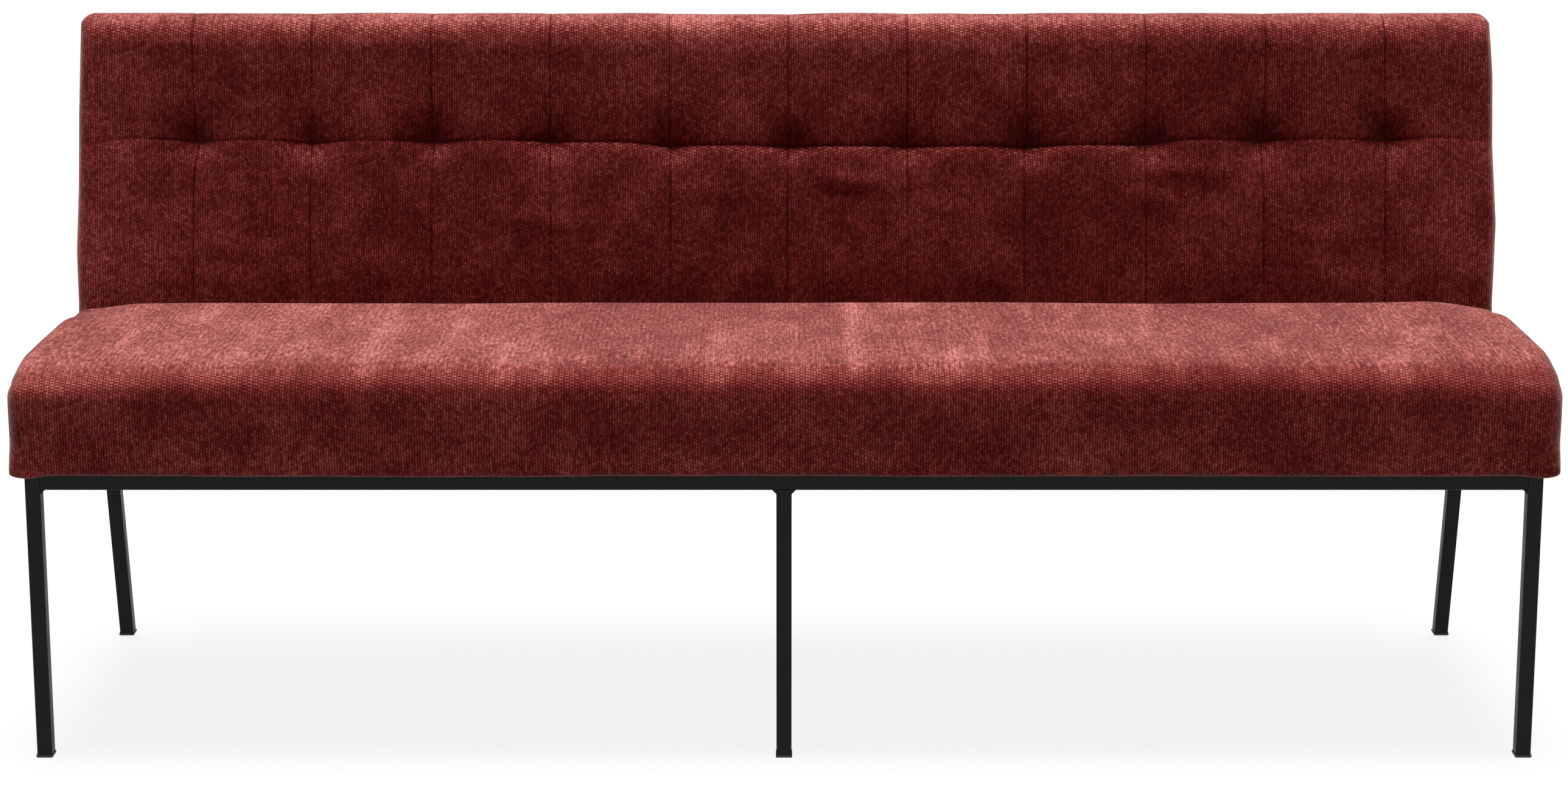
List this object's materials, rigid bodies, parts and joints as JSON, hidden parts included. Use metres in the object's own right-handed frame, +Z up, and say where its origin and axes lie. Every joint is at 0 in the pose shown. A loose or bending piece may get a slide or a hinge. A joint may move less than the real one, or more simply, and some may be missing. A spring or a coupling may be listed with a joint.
{
  "type": "dining sofa",
  "caption": "Upholstered dining bench without arms: a thick padded seat, a leaning backrest with sewn channels and pulled-in tufts, on a square-tube steel base.",
  "frame": {"origin": "on the floor, under the middle of the overall width and depth", "axes": "+X to the right of someone facing the front, +Y towards the back, +Z up; the front faces -Y"},
  "size_m": [2, 0.614, 0.9251],
  "materials": {
    "chenille": "dark red chenille with a knotted, ribbed weave",
    "thread": "waxed upholstery twine",
    "foam": "cut polyurethane foam",
    "webbing": "woven elastic webbing",
    "cambric": "black non-woven dust cloth",
    "pine": "planed, unfinished",
    "black_steel": "matte black powder coat",
    "zinc_steel": "zinc plated",
    "black_plastic": "moulded, fine grain"
  },
  "bodies": {
    "root": {"front_rail": "black_steel", "rear_rail": "black_steel", "left_side_rail": "black_steel", "right_side_rail": "black_steel", "centre_cross_rail": "black_steel", "front_left_leg": "black_steel", "front_right_leg": "black_steel", "front_centre_leg": "black_steel", "rear_left_leg": "black_steel", "rear_right_leg": "black_steel", "rear_centre_leg": "black_steel", "left_outer_upright": "black_steel", "left_inner_upright": "black_steel", "right_inner_upright": "black_steel", "right_outer_upright": "black_steel", "weld_fillets": "black_steel", "mounting_tabs": "black_steel", "leg_top_plugs": "black_plastic", "rear_rail_plugs": "black_plastic", "front_left_glide": "black_plastic", "front_right_glide": "black_plastic", "front_centre_glide": "black_plastic", "rear_left_glide": "black_plastic", "rear_right_glide": "black_plastic", "rear_centre_glide": "black_plastic", "seat_front_board": "pine", "seat_rear_board": "pine", "seat_left_board": "pine", "seat_right_board": "pine", "seat_cross_bars": "pine", "bolt_cleats": "pine", "seat_bolts": "zinc_steel", "tee_nuts": "zinc_steel", "seat_webbing": "webbing", "seat_foam": "foam", "seat_cover": "chenille", "dust_cover": "cambric", "back_top_rail": "pine", "back_tuft_rail": "pine", "back_bottom_rail": "pine", "back_left_post": "pine", "back_right_post": "pine", "back_inner_posts": "pine", "back_board": "pine", "back_foam": "foam", "back_cover": "chenille", "outside_back": "chenille", "tuft_ties": "thread", "tuft_toggles": "black_plastic", "upright_screws": "zinc_steel"}
  },
  "joints": []
}
